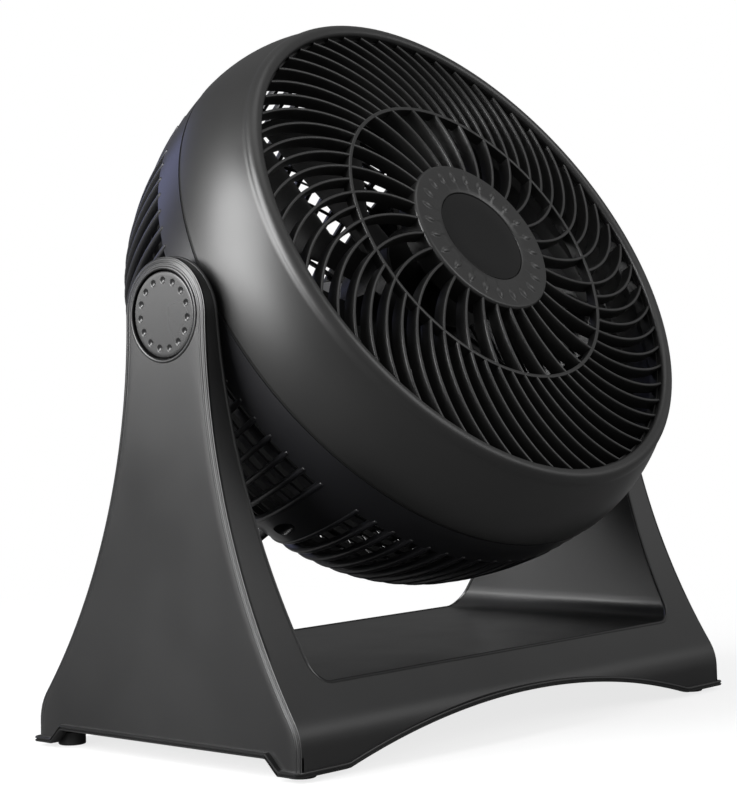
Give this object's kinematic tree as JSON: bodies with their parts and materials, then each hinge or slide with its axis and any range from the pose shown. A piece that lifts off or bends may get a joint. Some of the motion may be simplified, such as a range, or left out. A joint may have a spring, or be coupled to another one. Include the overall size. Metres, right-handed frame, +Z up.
{
  "type": "turbo fan",
  "caption": "Tabletop turbo fan: a round ducted head with a swirled front grille, slotted rear dome and speed knob tilts between the legs of a one-piece yoke base.",
  "frame": {"origin": "on the table under the line of the pivots, in the plane of the feet's soles", "axes": "+X to the right seen from the front, -Y to the front where the air leaves, +Z up"},
  "size_m": [0.37, 0.2733, 0.3952],
  "materials": {
    "shell_plastic": "satin moulded charcoal",
    "cap_plastic": "satin moulded charcoal",
    "grille_plastic": "satin moulded charcoal",
    "disc_plastic": "smooth charcoal",
    "fan_plastic": "smooth charcoal",
    "knob_plastic": "satin moulded charcoal",
    "washer_plastic": "natural white",
    "switch_plastic": "plain moulded",
    "foot_rubber": "matt soft",
    "gland_rubber": "matt soft",
    "screw_steel": "zinc plated",
    "core_steel": "bare sheet and ground bar",
    "motor_aluminium": "die cast",
    "winding_copper": "varnished wire",
    "bush_brass": "sintered"
  },
  "bodies": {
    "base": {"base_yoke": "shell_plastic", "rubber_feet": "foot_rubber", "foot_screws": "screw_steel", "left_pivot_cap": "cap_plastic", "right_pivot_cap": "cap_plastic", "left_friction_washer": "washer_plastic", "right_friction_washer": "washer_plastic"},
    "head": {"left_spring_washer": "screw_steel", "right_spring_washer": "screw_steel", "left_pivot_bolt": "screw_steel", "right_pivot_bolt": "screw_steel", "front_cowl": "shell_plastic", "front_grille": "grille_plastic", "hub_disc": "disc_plastic", "rear_housing": "shell_plastic", "shell_screws": "screw_steel", "motor_rear_bracket": "motor_aluminium", "motor_front_bracket": "motor_aluminium", "stator_core": "core_steel", "stator_windings": "winding_copper", "rear_bush": "bush_brass", "front_bush": "bush_brass", "motor_screws": "screw_steel", "control_cover": "shell_plastic", "cover_screws": "screw_steel", "rotary_switch": "switch_plastic", "capacitor": "switch_plastic", "cord_gland": "gland_rubber"},
    "fan": {"fan_blades": "fan_plastic", "fan_nut": "fan_plastic", "motor_shaft": "core_steel", "rotor_core": "core_steel"},
    "knob": {"speed_knob": "knob_plastic", "switch_spindle": "switch_plastic"}
  },
  "joints": [
    {"name": "head_tilt", "type": "hinge", "parent": "base", "child": "head", "pos_m": [0, 0, 0.2299], "axis": [-1, 0, 0], "range_deg": [-41, 58.5]},
    {"name": "fan_spin", "type": "hinge", "parent": "head", "child": "fan", "pos_m": [0, 0, 0.2299], "axis": [0, -0.8545, 0.5195], "continuous": true},
    {"name": "knob_turn", "type": "hinge", "parent": "head", "child": "knob", "pos_m": [0, 0, 0.2299], "axis": [0, -0.8545, 0.5195], "range_deg": [0, 135]}
  ]
}
